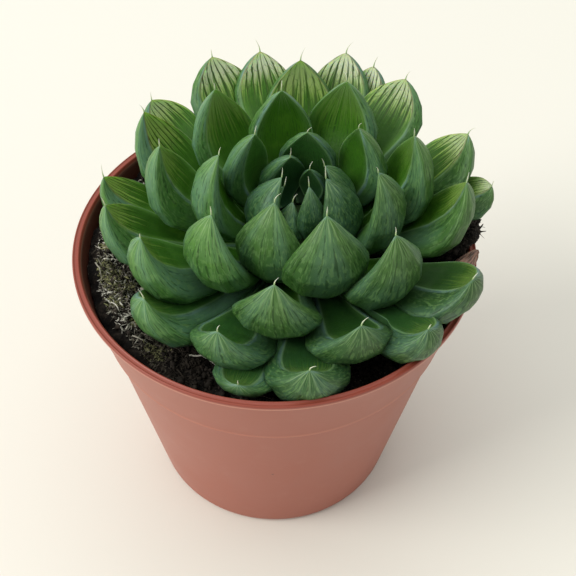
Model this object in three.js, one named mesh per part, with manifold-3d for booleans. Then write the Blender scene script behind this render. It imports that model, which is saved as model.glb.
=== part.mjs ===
// Potted haworthia: a small succulent rosette standing in peat in a round plastic nursery pot.
// Millimetres, +Z up. The origin is on the pot's axis, at the flat underside of its base.
import * as THREE from "three";
import { mergeVertices } from "three/addons/utils/BufferGeometryUtils.js";
import Module from "manifold-3d";

const wasm = await Module();
wasm.setup();

// Pot: a 9 cm round nursery pot with a straight-sided collar under a small rolled lip.
const POT_HEIGHT = 72;
const POT_BASE_RADIUS = 30.3;
const POT_WALL = 1.1;
const POT_FLOOR = 1.6;
const POT_FOOT_CHAMFER = 1.2;
const LIP_RADIUS = 45;
const LIP_HEIGHT = 1.3;
const LIP_OUTER_ROUND = 0.35;
const LIP_INNER_BEVEL = 0.4;
const COLLAR_TOP_RADIUS = 44.4;
const COLLAR_FOOT_RADIUS = 40.4;
const COLLAR_FOOT_HEIGHT = 54;
const COLLAR_STEP = 0.7;
const COLLAR_BEND = 0.8;
const POT_SIDES = 56;
const DRAIN_HOLES = 6;
const DRAIN_RADIUS = 3;
const DRAIN_CIRCLE_RADIUS = 20;
const DRAIN_SIDES = 16;

// Peat: fills the pot to about a centimetre under the lip, and is banked up where the leaves
// leave it bare. A clump of peat and root is pushed up against the lip on the right.
const FIT_GAP = 0.3;
const SOIL_TOP = 61.6;
const SOIL_BUMP = 0.6;
const SOIL_BANK = 5;
const SOIL_BANK_AZIMUTH = 165;
const SOIL_BANK_START = 33;
const SOIL_BANK_END = 45;
const SOIL_RINGS = 8;
const SOIL_EDGE_DROP = 0.8;

// The clump's lumps: azimuth in degrees and distance from the pot's axis, height, and radius.
// Each is turned by these angles more than the one before it.
const CLUMP_TILT = 1.3;
const CLUMP_TURN = 0.7;
const CLUMP = [
  [-10, 39, 64, 4],
  [-3, 39.2, 64.5, 4],
  [4, 39, 65, 4],
  [-7, 39.4, 68.5, 3.5],
  [0, 39.4, 69, 3.5],
  [6, 39.2, 69, 3.4],
  [-3, 39.8, 73, 3.1],
  [3, 40, 73.5, 3.1],
  [-1, 42.6, 75.1, 2.5],
  [3, 43, 75.3, 2.5],
];

// Plant: the stem stands a little off the pot's axis, and each leaf springs from its crown.
const PLANT_X = 6;
const PLANT_Y = 6;
const STEM_ROOT_RADIUS = 4.5;
const STEM_ROOT_END = 44.3;
const STEM_ROOT_TAPER = 0.7;
const CROWN_FOOT = 62.7;
const CROWN_TOP = 73.5;
const CROWN_RADIUS = 9.5;
const CROWN_TIP_RADIUS = 1.8;
const CROWN_FOOT_SHARE = 0.8;
const CROWN_FOOT_SLOPE = 0.8;
const CROWN_RISES = [0.12, 0.4, 0.65, 0.85, 0.97];
const STEM_SIDES = 20;
const LEAF_BASE_LOW = 65.3;
const LEAF_BASE_HIGH = 73.1;
const LEAF_BASE_CROWDING = 0.8;
const LEAF_SEAT = 0.4;

// Each leaf, from the heart outwards: azimuth of its tip in degrees from +X, the tip's distance
// from the stem's axis, the tip's height, the leaf's width and its thickness.
const LEAVES = [
  [285, 5, 88, 7, 3.5],
  [65, 4, 85, 7, 3],
  [190, 4, 84, 7, 3],
  [245, 5, 83, 8, 3.5],
  [16, 5, 88, 12, 5.5],
  [122, 5, 88, 12, 5.5],
  [205, 5, 88, 13, 6],
  [325, 6, 89, 14, 6.5],
  [83, 9, 91, 14, 6],
  [150, 12, 93, 14, 6.5],
  [30, 14, 94, 15, 6.5],
  [336, 17, 94, 17, 7.5],
  [249, 17, 94, 17, 8],
  [189, 18, 95, 16, 7.5],
  [104, 19, 95, 16, 7],
  [282, 21, 95, 20, 9],
  [65, 24, 95, 18, 7],
  [8, 24, 95, 19, 8],
  [226, 27, 94, 18, 8.5],
  [134, 28, 94, 17, 7],
  [307, 30, 93, 19, 9],
  [174, 31, 92, 18, 8],
  [349, 35, 91, 18, 7.5],
  [260, 35, 90, 20, 8],
  [90, 36, 90, 18, 6.5],
  [211, 39, 88, 19, 8.5],
  [15, 38, 90, 17, 6.5],
  [153, 40, 89, 17, 7],
  [285, 42, 85, 19, 7.2],
  [51, 39, 89, 17, 6],
  [2, 42, 82, 13, 5],
  [103, 43, 88, 16, 6],
  [75, 43, 88, 16, 5.5],
  [188, 43, 83, 18, 7.5],
  [247, 44, 83, 19, 7.2],
  [118, 45, 88, 18, 6.5],
  [321, 44, 84, 19, 8],
  [66, 44, 85, 12, 5],
  [224, 45, 82, 19, 8],
  [140, 46, 83, 15, 5.5],
  [172, 45, 80, 14, 6],
  [302, 46, 82, 15, 8.5],
  [271, 47, 79, 19, 10],
  [254, 48, 73, 15, 5],
];

// Leaf form: width and thickness along the leaf, as shares of the leaf's own.
const LEAF_STATIONS = [0, 0.18, 0.36, 0.54, 0.68, 0.8, 0.89, 0.95, 0.985];
const WIDTH_KEYS = [
  [0, 0.27],
  [0.2, 0.45],
  [0.4, 0.78],
  [0.56, 1],
  [0.68, 0.95],
  [0.8, 0.71],
  [0.9, 0.4],
  [0.96, 0.18],
  [1, 0],
];
const DEPTH_KEYS = [
  [0, 0.32],
  [0.2, 0.58],
  [0.4, 0.92],
  [0.56, 1],
  [0.68, 0.93],
  [0.8, 0.72],
  [0.9, 0.44],
  [1, 0],
];

// Slope of a leaf's middle line at its tip and base, in degrees: steep in the heart, and less so
// for each mm of reach. Where the lip is near, the leaf lifts to clear it.
const TIP_SLOPE_HEART = 111;
const TIP_SLOPE_FALL = 0.85;
const BASE_SLOPE_HEART = 40;
const BASE_SLOPE_FALL = 0.85;
const BASE_SLOPE_LEAST = 3;
const LIFT_ROOM = 4.2;
const LIFT_PER_MM = 2.2;
const LIFT_MOST = 18;
const LIFT_TIP_SHARE = 0.4;

// Section: a keeled belly through these angles, and a shallow hollow in the upper face.
const SECTION_ANGLES = [0, 24, 52, 90, 128, 156, 180];
const BELLY_FULLNESS = 0.9;
const FACE_HOLLOW = 0.09;
const FACE_SHARE = 0.5;

// The soft bristle that each leaf ends in, and the room that a leaf leaves round its neighbours.
const BRISTLE_LENGTH = 2.6;
const BRISTLE_UPTURN = 0.8;
const NEIGHBOUR_GAP = 0.35;
const MARGIN_GAP_SHARE = 0.6;

// The one withered leaf, at the right of the lip.
const DRY_LEAF_BASE = [38.2, -8.2, 70.2];
const DRY_LEAF_TIP = [44.4, -6, 75.9];
const DRY_LEAF_HALF = 2.6;
const DRY_LEAF_CURL = 1.2;
const DRY_LEAF_THICKNESS = 0.8;
const DRY_LEAF_STATIONS = [0, 0.25, 0.5, 0.72, 0.88];

const colours = {
  pot: "#a5604f",
  soil: "#3a3129",
  stem: "#7a6a45",
  leaf: "#4f8040",
  dryLeaf: "#8d6f5f",
};
const material = (hex, roughness) =>
  new THREE.MeshStandardMaterial({ color: new THREE.Color(hex), roughness });

// The value at t of a list of [position, value] keys, straight between the keys.
function keyed(keys, t) {
  let k = 1;
  while (k < keys.length - 1 && keys[k][0] < t) k += 1;
  const [t0, v0] = keys[k - 1];
  const [t1, v1] = keys[k];
  return v0 + ((v1 - v0) * (t - t0)) / (t1 - t0);
}

// A closed three.js geometry as a solid that can be cut.
function solid(geometry) {
  const bare = geometry.clone();
  for (const extra of ["normal", "uv"]) bare.deleteAttribute(extra);
  const merged = mergeVertices(bare, 1e-4);
  return new wasm.Manifold(
    new wasm.Mesh({
      numProp: 3,
      vertProperties: new Float32Array(merged.attributes.position.array),
      triVerts: new Uint32Array(merged.index.array),
    }),
  );
}

// The cut solid's largest piece, back as a three.js geometry.
function geometryOf(cut) {
  const pieces = cut.decompose();
  let largest = pieces[0];
  for (const piece of pieces) if (piece.volume() > largest.volume()) largest = piece;
  const mesh = largest.getMesh();
  const geometry = new THREE.BufferGeometry();
  geometry.setAttribute(
    "position",
    new THREE.BufferAttribute(new Float32Array(mesh.vertProperties), 3),
  );
  geometry.setIndex(new THREE.BufferAttribute(new Uint32Array(mesh.triVerts), 1));
  geometry.computeVertexNormals();
  return geometry;
}

// A closed profile of [radius, height] turned about +Z.
function turned(profile, sides) {
  const points = profile.map(([r, z]) => new THREE.Vector2(r, z));
  return new THREE.LatheGeometry(points, sides).rotateX(Math.PI / 2);
}

// Radius of the pot's inner wall at height z.
function innerRadius(z) {
  const bodyTop = COLLAR_FOOT_RADIUS - COLLAR_STEP;
  if (z < COLLAR_FOOT_HEIGHT) {
    const rise = z / COLLAR_FOOT_HEIGHT;
    return POT_BASE_RADIUS + (bodyTop - POT_BASE_RADIUS) * rise - POT_WALL;
  }
  const rise = (z - COLLAR_FOOT_HEIGHT) / (POT_HEIGHT - COLLAR_FOOT_HEIGHT);
  return COLLAR_FOOT_RADIUS + (COLLAR_TOP_RADIUS - COLLAR_FOOT_RADIUS) * rise - POT_WALL;
}

function potGeometry() {
  const top = POT_HEIGHT;
  const bodyTop = COLLAR_FOOT_RADIUS - COLLAR_STEP;
  const step = COLLAR_FOOT_HEIGHT;
  const profile = [
    [0, 0],
    [POT_BASE_RADIUS - POT_FOOT_CHAMFER, 0],
    [POT_BASE_RADIUS, POT_FOOT_CHAMFER],
    [bodyTop, step],
    [COLLAR_FOOT_RADIUS, step],
    [COLLAR_TOP_RADIUS, top - LIP_HEIGHT],
    [LIP_RADIUS, top - LIP_HEIGHT],
    [LIP_RADIUS, top - LIP_HEIGHT / 2],
    [LIP_RADIUS - LIP_OUTER_ROUND, top],
    [innerRadius(top) + LIP_INNER_BEVEL / 2, top],
    [innerRadius(top - LIP_INNER_BEVEL), top - LIP_INNER_BEVEL],
    [innerRadius(step + COLLAR_BEND), step + COLLAR_BEND],
    [innerRadius(step - COLLAR_BEND), step - COLLAR_BEND],
    [innerRadius(POT_FLOOR), POT_FLOOR],
    [0, POT_FLOOR],
  ];
  let shell = solid(turned(profile, POT_SIDES));
  for (let i = 0; i < DRAIN_HOLES; i += 1) {
    const angle = ((i + 0.5) * 2 * Math.PI) / DRAIN_HOLES;
    const hole = new THREE.CylinderGeometry(DRAIN_RADIUS, DRAIN_RADIUS, 2 * POT_FLOOR, DRAIN_SIDES)
      .rotateX(Math.PI / 2)
      .translate(
        DRAIN_CIRCLE_RADIUS * Math.cos(angle),
        DRAIN_CIRCLE_RADIUS * Math.sin(angle),
        POT_FLOOR / 2,
      );
    shell = shell.subtract(solid(hole));
  }
  return geometryOf(shell);
}

// Height of the peat at a point: slow waves, and a bank outside the leaves.
function soilHeight(x, y) {
  const waves =
    Math.sin(x * 0.31 + 0.6) * Math.cos(y * 0.27 - 0.4) + 0.5 * Math.sin(x * 0.12 - y * 0.19);
  const distance = Math.hypot(x - PLANT_X, y - PLANT_Y);
  const share = THREE.MathUtils.smoothstep(distance, SOIL_BANK_START, SOIL_BANK_END);
  const turn = Math.atan2(y - PLANT_Y, x - PLANT_X) - (SOIL_BANK_AZIMUTH * Math.PI) / 180;
  return SOIL_TOP + SOIL_BUMP * waves + SOIL_BANK * share * (0.5 + 0.5 * Math.cos(turn));
}

// The collar's wall and lip with their fitting gap, as a thick ring that cuts what meets them.
function wallRing() {
  const low = COLLAR_FOOT_HEIGHT + COLLAR_BEND;
  const high = POT_HEIGHT + FIT_GAP;
  const profile = [
    [innerRadius(low) - FIT_GAP, low],
    [LIP_RADIUS + 10, low],
    [LIP_RADIUS + 10, high],
    [innerRadius(high) - FIT_GAP, high],
    [innerRadius(low) - FIT_GAP, low],
  ];
  return solid(turned(profile, POT_SIDES));
}

// The clump: rough lumps sunk well into one another and into the peat.
function clumpSolid() {
  let clump;
  CLUMP.forEach(([azimuth, distance, z, radius], i) => {
    const a = (azimuth * Math.PI) / 180;
    const lump = new THREE.IcosahedronGeometry(radius, 1)
      .rotateX(i * CLUMP_TILT)
      .rotateZ(i * CLUMP_TURN)
      .translate(distance * Math.cos(a), distance * Math.sin(a), z);
    clump = clump ? clump.add(solid(lump)) : solid(lump);
  });
  return clump;
}

// Peat: rings of points up the wall from the floor, then over the surface towards the axis.
function soilSolid() {
  const wall = innerRadius(SOIL_TOP) - FIT_GAP;
  const positions = [];
  const index = [];
  const rings = [];
  const ring = (place) => {
    const start = positions.length / 3;
    for (let j = 0; j < POT_SIDES; j += 1) {
      positions.push(...place((j * 2 * Math.PI) / POT_SIDES));
    }
    rings.push(start);
  };
  const around = (radius, z) => (a) => [radius * Math.cos(a), radius * Math.sin(a), z];
  const floor = POT_FLOOR + FIT_GAP;
  const step = COLLAR_FOOT_HEIGHT;
  ring(around(innerRadius(floor) - FIT_GAP, floor));
  ring(around(innerRadius(step - COLLAR_BEND) - FIT_GAP, step - COLLAR_BEND));
  ring(around(innerRadius(step + COLLAR_BEND) - FIT_GAP, step + COLLAR_BEND));
  ring((a) => {
    const z = soilHeight(wall * Math.cos(a), wall * Math.sin(a)) - SOIL_EDGE_DROP;
    return around(innerRadius(z) - FIT_GAP, z)(a);
  });
  for (let k = 1; k < SOIL_RINGS; k += 1) {
    const radius = wall * (1 - k / SOIL_RINGS);
    ring((a) => {
      const [x, y] = [radius * Math.cos(a), radius * Math.sin(a)];
      return [x, y, soilHeight(x, y)];
    });
  }
  for (let k = 0; k + 1 < rings.length; k += 1) {
    for (let j = 0; j < POT_SIDES; j += 1) {
      const next = (j + 1) % POT_SIDES;
      const [a, b] = [rings[k] + j, rings[k] + next];
      const [c, d] = [rings[k + 1] + j, rings[k + 1] + next];
      index.push(a, b, d, a, d, c);
    }
  }
  const low = positions.length / 3;
  positions.push(0, 0, floor, 0, 0, soilHeight(0, 0));
  const last = rings[rings.length - 1];
  for (let j = 0; j < POT_SIDES; j += 1) {
    const next = (j + 1) % POT_SIDES;
    index.push(low, rings[0] + next, rings[0] + j);
    index.push(low + 1, last + j, last + next);
  }
  const body = new THREE.BufferGeometry();
  body.setAttribute("position", new THREE.Float32BufferAttribute(positions, 3));
  body.setIndex(index);
  return solid(body).add(clumpSolid());
}

// Radius of the crown at height z: a dome over its widest part.
function crownRadius(z) {
  const rise = Math.min(Math.max((z - CROWN_FOOT) / (CROWN_TOP - CROWN_FOOT), 0), 1);
  return CROWN_TIP_RADIUS + (CROWN_RADIUS - CROWN_TIP_RADIUS) * Math.sqrt(1 - rise * rise);
}

// The stem's root in the peat, with the crown on it. grow widens it, as it does a leaf.
function stemGeometry(grow) {
  const profile = [
    [0, STEM_ROOT_END - grow],
    [STEM_ROOT_RADIUS * STEM_ROOT_TAPER + grow, STEM_ROOT_END - grow],
    [STEM_ROOT_RADIUS + grow, STEM_ROOT_END + STEM_ROOT_RADIUS - grow],
    [STEM_ROOT_RADIUS + grow, CROWN_FOOT - CROWN_FOOT_SLOPE - grow],
    [CROWN_RADIUS * CROWN_FOOT_SHARE + grow, CROWN_FOOT - grow],
  ];
  for (const rise of CROWN_RISES) {
    const z = CROWN_FOOT + rise * (CROWN_TOP - CROWN_FOOT);
    profile.push([crownRadius(z) + grow, z + rise * grow]);
  }
  profile.push([0, CROWN_TOP + grow]);
  return turned(profile, STEM_SIDES).translate(PLANT_X, PLANT_Y, 0);
}

// A closed body from a list of rings of points, all with as many points, and an end point.
function swept(rings, point) {
  const around = rings[0].length;
  const positions = [];
  const index = [];
  for (const ring of rings) for (const p of ring) positions.push(p.x, p.y, p.z);
  positions.push(point.x, point.y, point.z);
  const last = (rings.length - 1) * around;
  for (let j = 0; j < around; j += 1) {
    const next = (j + 1) % around;
    for (let k = 0; k < last; k += around) {
      index.push(k + j, k + around + j, k + around + next);
      index.push(k + j, k + around + next, k + next);
    }
    index.push(last + j, last + around, last + next);
  }
  for (let j = 1; j + 1 < around; j += 1) index.push(0, j, j + 1);
  const body = new THREE.BufferGeometry();
  body.setAttribute("position", new THREE.Float32BufferAttribute(positions, 3));
  body.setIndex(index);
  return body;
}

// One leaf, a closed boat-shaped body. The middle line of its upper face is a curve from the
// crown to the tip, where it ends in a bristle. grow widens the whole body, for the room that
// its neighbours must leave.
function leafGeometry([azimuth, reach, height, width, depth], rank, grow) {
  const turn = (azimuth * Math.PI) / 180;
  const out = new THREE.Vector3(Math.cos(turn), Math.sin(turn), 0);
  const side = new THREE.Vector3(-Math.sin(turn), Math.cos(turn), 0);
  const rise = 1 - (rank / (LEAVES.length - 1)) ** LEAF_BASE_CROWDING;
  const baseZ = LEAF_BASE_LOW + rise * (LEAF_BASE_HIGH - LEAF_BASE_LOW);
  const place = (r, z) =>
    new THREE.Vector3(PLANT_X, PLANT_Y, z).addScaledVector(out, r);
  const base = place(crownRadius(baseZ) + LEAF_SEAT, baseZ);
  const tip = place(reach, height);
  const chord = tip.clone().sub(base);
  const chordSlope = Math.atan2(chord.z, chord.dot(out));
  const toAxis = PLANT_X * out.x + PLANT_Y * out.y;
  const aside = PLANT_X * out.y - PLANT_Y * out.x;
  const room = Math.sqrt(innerRadius(POT_HEIGHT) ** 2 - aside ** 2) - toAxis;
  const short = Math.max(reach - room + LIFT_ROOM, 0);
  const lift = Math.min(LIFT_PER_MM * short, LIFT_MOST);
  const tipSlopeDegrees = TIP_SLOPE_HEART - TIP_SLOPE_FALL * reach - LIFT_TIP_SHARE * lift;
  const baseSlopeDegrees = BASE_SLOPE_HEART - BASE_SLOPE_FALL * reach;
  const tipSlope = (tipSlopeDegrees * Math.PI) / 180;
  const baseSlope = ((Math.max(baseSlopeDegrees, BASE_SLOPE_LEAST) + lift) * Math.PI) / 180;
  const run = (chord.length() * Math.sin(tipSlope - chordSlope)) / Math.sin(tipSlope - baseSlope);
  const middle = base.clone().addScaledVector(out, run * Math.cos(baseSlope));
  middle.z += run * Math.sin(baseSlope);
  const line = new THREE.QuadraticBezierCurve3(base, middle, tip);
  const rings = LEAF_STATIONS.map((t) => {
    const along = line.getTangent(t);
    const centre = line.getPoint(t).addScaledVector(along, t > 0 ? 0 : -grow);
    const below = new THREE.Vector3().crossVectors(along, side).normalize();
    if (below.dot(out) < 0 || below.z > 0.9) below.negate();
    const half = (width / 2) * keyed(WIDTH_KEYS, t) + grow;
    const deep = depth * keyed(DEPTH_KEYS, t) + grow;
    const section = SECTION_ANGLES.map((degrees) => {
      const a = (degrees * Math.PI) / 180;
      return [half * Math.cos(a), deep * Math.sin(a) ** BELLY_FULLNESS];
    });
    section[0][1] = -MARGIN_GAP_SHARE * grow;
    section[section.length - 1][1] = -MARGIN_GAP_SHARE * grow;
    section.push([-half * FACE_SHARE, FACE_HOLLOW * half - grow]);
    section.push([half * FACE_SHARE, FACE_HOLLOW * half - grow]);
    return section.map(([x, y]) =>
      centre.clone().addScaledVector(side, x).addScaledVector(below, y),
    );
  });
  const bristle = line.getTangent(1);
  bristle.z += BRISTLE_UPTURN;
  bristle.normalize();
  return swept(rings, tip.clone().addScaledVector(bristle, BRISTLE_LENGTH + grow));
}

// The withered leaf: a thin curled blade that leans out of the clump over the lip.
function dryLeafGeometry() {
  const base = new THREE.Vector3(...DRY_LEAF_BASE);
  const tip = new THREE.Vector3(...DRY_LEAF_TIP);
  const along = tip.clone().sub(base);
  const side = new THREE.Vector3().crossVectors(new THREE.Vector3(1, 0.3, 0), along).normalize();
  const face = new THREE.Vector3().crossVectors(along, side).normalize();
  const rings = DRY_LEAF_STATIONS.map((t) => {
    const half = DRY_LEAF_HALF * Math.sin(Math.PI * (0.2 + 0.72 * t));
    const centre = base.clone().addScaledVector(along, t);
    const top = [-1, -0.5, 0, 0.5, 1].map((u) => [u * half, DRY_LEAF_CURL * u * u]);
    const under = [0.9, 0.45, -0.45, -0.9].map((u) => [
      u * half,
      DRY_LEAF_CURL * u * u - DRY_LEAF_THICKNESS,
    ]);
    return [...top, ...under].map(([x, y]) =>
      centre.clone().addScaledVector(side, x).addScaledVector(face, y),
    );
  });
  return swept(rings, tip);
}

const plant = new THREE.Group();
function add(name, geometry, colour, roughness) {
  const mesh = new THREE.Mesh(geometry, material(colour, roughness));
  mesh.name = name;
  plant.add(mesh);
}

add("pot", potGeometry(), colours.pot, 0.5);
add("stem", stemGeometry(0), colours.stem, 0.8);

// Every leaf gives way to the crown, the pot's wall and the leaves inside it. The peat gives way
// to them all, and the withered leaf also to the peat, shifted each way by the fitting gap.
const grown = [solid(stemGeometry(FIT_GAP)), wallRing()];
function clearOf(body) {
  const box = body.boundingBox();
  let clear = body;
  for (const other of grown) {
    const { min, max } = other.boundingBox();
    const meets = [0, 1, 2].every((k) => min[k] < box.max[k] && max[k] > box.min[k]);
    if (meets) clear = clear.subtract(other);
  }
  return clear;
}

LEAVES.forEach((leaf, rank) => {
  const whole = solid(leafGeometry(leaf, rank, 0));
  const name = "leaf_" + String(rank + 1).padStart(2, "0");
  add(name, geometryOf(clearOf(whole)), colours.leaf, 0.5);
  grown.push(solid(leafGeometry(leaf, rank, NEIGHBOUR_GAP)).add(whole));
});
const soil = clearOf(soilSolid());
add("soil", geometryOf(soil), colours.soil, 0.95);
for (const axis of [0, 1, 2]) {
  for (const step of [-FIT_GAP, FIT_GAP]) {
    const shift = [0, 0, 0];
    shift[axis] = step;
    grown.push(soil.translate(shift));
  }
}
const dryLeaf = clearOf(solid(dryLeafGeometry()));
add("dry_leaf", geometryOf(dryLeaf), colours.dryLeaf, 0.8);

export default plant;
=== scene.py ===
"""The looks of a potted haworthia: smooth leaves, crumbly peat and a moulded plastic pot.

Shapes are worked out in millimetres, with the same named values as the solids, and made into
meshes in metres.
"""
from functools import partial

import bmesh
import bpy
import numpy as np
from mathutils import Matrix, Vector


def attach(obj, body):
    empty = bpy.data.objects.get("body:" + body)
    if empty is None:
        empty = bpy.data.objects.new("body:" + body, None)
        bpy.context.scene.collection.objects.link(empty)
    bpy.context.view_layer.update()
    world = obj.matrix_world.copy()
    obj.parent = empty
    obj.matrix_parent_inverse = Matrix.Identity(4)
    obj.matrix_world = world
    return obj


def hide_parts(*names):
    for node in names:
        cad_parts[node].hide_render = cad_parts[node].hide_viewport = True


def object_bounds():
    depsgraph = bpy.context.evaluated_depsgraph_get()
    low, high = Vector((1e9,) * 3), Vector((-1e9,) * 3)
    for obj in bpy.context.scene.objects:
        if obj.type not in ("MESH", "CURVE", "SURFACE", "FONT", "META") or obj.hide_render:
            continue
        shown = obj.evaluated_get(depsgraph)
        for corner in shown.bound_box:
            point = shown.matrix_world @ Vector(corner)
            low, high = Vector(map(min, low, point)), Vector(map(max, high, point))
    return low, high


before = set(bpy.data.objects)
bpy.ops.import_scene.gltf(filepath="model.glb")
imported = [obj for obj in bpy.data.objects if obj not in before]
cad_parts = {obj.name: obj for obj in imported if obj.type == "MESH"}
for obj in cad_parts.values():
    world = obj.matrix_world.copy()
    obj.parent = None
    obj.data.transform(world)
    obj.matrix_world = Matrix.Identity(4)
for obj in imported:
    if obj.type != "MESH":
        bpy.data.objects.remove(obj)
cad_low, cad_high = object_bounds()
MM = 0.001

# How far a fine piece stays within the solids, in millimetres
SETBACK = 0.02
BOX_LOW = np.array(cad_low) / MM + SETBACK
BOX_HIGH = np.array(cad_high) / MM - SETBACK

# Camera: its place, its focal length and its turn, from the lip, collar and base of the pot.
IMAGE_PX = 576
FOCAL_PX = 1100
SENSOR_MM = 36
CAMERA_PLACE = np.array([0, -169.245, 250.99])
CAMERA_DOWN = np.radians(49.022)
CAMERA_TURN = np.radians(1.056)
CAMERA_ROLL = np.radians(0.926)

# Pot
POT_HEIGHT = 72
POT_BASE_RADIUS = 30.3
POT_WALL = 1.1
POT_FLOOR = 1.6
POT_FOOT_CHAMFER = 1.2
LIP_RADIUS = 45
LIP_HEIGHT = 1.3
COLLAR_TOP_RADIUS = 44.4
COLLAR_FOOT_RADIUS = 40.4
COLLAR_FOOT_HEIGHT = 54
COLLAR_STEP = 0.7
DRAIN_HOLES = 6
DRAIN_RADIUS = 3
DRAIN_CIRCLE_RADIUS = 20
FIT_GAP = 0.3

# The fine pot: points round it and round a hole, the rim left clear of the painted shade
# inside and how that shade fades in below it
POT_SIDES = 256
HOLE_SIDES = 32
UNSHADED_RIM = 0.5
INNER_SHADE_FADE = 0.9

# Peat
SOIL_TOP = 61.6
SOIL_BUMP = 0.6
SOIL_BANK = 5
SOIL_BANK_AZIMUTH = 165
SOIL_BANK_START = 33
SOIL_BANK_END = 45
CLUMP = [
    [-10, 39, 64, 4],
    [-3, 39.2, 64.5, 4],
    [4, 39, 65, 4],
    [-7, 39.4, 68.5, 3.5],
    [0, 39.4, 69, 3.5],
    [6, 39.2, 69, 3.4],
    [-3, 39.8, 73, 3.1],
    [3, 40, 73.5, 3.1],
    [-1, 42.6, 75.1, 2.5],
    [3, 43, 75.3, 2.5],
]

# The fine peat: rings from the stem to the wall and points round them, the gap to the wall, the
# height of the side's top ring, the drift, mound and fall at the edge, and the clump's balls
SOIL_RINGS = 130
SOIL_SIDES = 420
SOIL_GAP = FIT_GAP + 0.05
SOIL_SIDE_TOP = 58
SOIL_DRIFT = 2.2
SOIL_MOUND = 3.2
SOIL_MOUND_PLACE = [-31, 25]
SOIL_MOUND_SPREAD = 60
SOIL_EDGE_FALL = 1.4
LUMP_RINGS = 28
LUMP_SIDES = 44

# Rows along and points round a fibre and a root, and rings and points of a crumb
FIBRE_ROWS, FIBRE_SIDES = 3, 3
ROOT_ROWS, ROOT_SIDES = 20, 6
CRUMB_RINGS, CRUMB_SIDES = 4, 6

# Moss patches: place and size
MOSS = [
    [-37.5, -6.1, 3.6], [-33.3, -10, 3.6], [-25, -27, 2.6],
    [-35, -15, 2], [-37, 1, 2.2], [-30, -19, 1.6],
]

# Dry roots: both ends, bow, radius and tint
ROOTS = [
    [-18.2, -26.2, -12.1, -28.1, 0.4, 0.24, 0.9],
    [-5.1, -36.1, 0.1, -37.7, -0.8, 0.16, 0.6],
    [-39.8, -4.6, -38.2, -8.4, 0.3, 0.2, 0.8],
    [-36.6, -14.5, -33.4, -17.6, 0.4, 0.24, 0.95],
    [-30.2, -23.6, -26.4, -25.1, -0.4, 0.2, 0.8],
    [-20.4, -30.8, -18.9, -34.2, 0.5, 0.22, 0.3],
    [-9.5, -33.4, -6.8, -36.8, 0.6, 0.18, 0.4],
]

# Spots with pale bits
PALE_BITS = [[-40.5, 10], [-35, -15], [-33, -19], [-24, -25], [-34, 27], [-31, 29], [-36.5, 24]]

# Withered leaf
DRY_BASE = np.array([38.2, -8.2, 70.2])
DRY_TIP = np.array([44.4, -6, 75.9])
DRY_HALF = 2.6
DRY_CURL = 1.2
DRY_THICKNESS = 0.8
DRY_STREAK_WIDTH = 0.289
DRY_STREAK_LENGTH = 2.9
DRY_ROWS = 26
DRY_UPPER = 17
DRY_LOWER = 15

# Plant
PLANT = np.array([6, 6])
STEM_ROOT_RADIUS = 4.5
STEM_ROOT_END = 44.3
CROWN_FOOT = 62.7
CROWN_TOP = 73.5
CROWN_RADIUS = 9.5
CROWN_TIP_RADIUS = 1.8
CROWN_SIDES = 96
LEAF_BASE_LOW = 65.3
LEAF_BASE_HIGH = 73.1
LEAF_BASE_CROWDING = 0.8
LEAF_SEAT = 0.4

# Each leaf, from the heart outwards: azimuth of its tip in degrees, the tip's distance from the
# stem's axis, the tip's height, the leaf's width and its thickness.
LEAVES = [
    [285, 5, 88, 7, 3.5],
    [65, 4, 85, 7, 3],
    [190, 4, 84, 7, 3],
    [245, 5, 83, 8, 3.5],
    [16, 5, 88, 12, 5.5],
    [122, 5, 88, 12, 5.5],
    [205, 5, 88, 13, 6],
    [325, 6, 89, 14, 6.5],
    [83, 9, 91, 14, 6],
    [150, 12, 93, 14, 6.5],
    [30, 14, 94, 15, 6.5],
    [336, 17, 94, 17, 7.5],
    [249, 17, 94, 17, 8],
    [189, 18, 95, 16, 7.5],
    [104, 19, 95, 16, 7],
    [282, 21, 95, 20, 9],
    [65, 24, 95, 18, 7],
    [8, 24, 95, 19, 8],
    [226, 27, 94, 18, 8.5],
    [134, 28, 94, 17, 7],
    [307, 30, 93, 19, 9],
    [174, 31, 92, 18, 8],
    [349, 35, 91, 18, 7.5],
    [260, 35, 90, 20, 8],
    [90, 36, 90, 18, 6.5],
    [211, 39, 88, 19, 8.5],
    [15, 38, 90, 17, 6.5],
    [153, 40, 89, 17, 7],
    [285, 42, 85, 19, 7.2],
    [51, 39, 89, 17, 6],
    [2, 42, 82, 13, 5],
    [103, 43, 88, 16, 6],
    [75, 43, 88, 16, 5.5],
    [188, 43, 83, 18, 7.5],
    [247, 44, 83, 19, 7.2],
    [118, 45, 88, 18, 6.5],
    [321, 44, 84, 19, 8],
    [66, 44, 85, 12, 5],
    [224, 45, 82, 19, 8],
    [140, 46, 83, 15, 5.5],
    [172, 45, 80, 14, 6],
    [302, 46, 82, 15, 8.5],
    [271, 47, 79, 19, 10],
    [254, 48, 73, 15, 5],
]
DEPTH_KEYS = [
    [0, 0.32], [0.2, 0.58], [0.4, 0.92], [0.56, 1], [0.68, 0.93], [0.8, 0.72], [0.9, 0.44], [1, 0]
]
TIP_SLOPE_HEART = 111
TIP_SLOPE_FALL = 0.85
BASE_SLOPE_HEART = 40
BASE_SLOPE_FALL = 0.85
BASE_SLOPE_LEAST = 3
LIFT_ROOM = 4.2
LIFT_PER_MM = 2.2
LIFT_MOST = 18
LIFT_TIP_SHARE = 0.4
BELLY_FULLNESS = 0.9
FACE_HOLLOW = 0.1
CREST_ANGLE = 56
CREST_ANGLE_BEHIND = 30
CREST_LEAN = 32
CREST_DEPTH = 0.4
CREST_AT_BASE = 0.3
WIDTH_KEYS = [
    [0, 0.27], [0.2, 0.45], [0.4, 0.78], [0.56, 1], [0.68, 0.95],
    [0.8, 0.71], [0.9, 0.4], [0.96, 0.18], [1, 0],
]
SWELL = 0.16
SMALL_SWELL = 0.05

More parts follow.
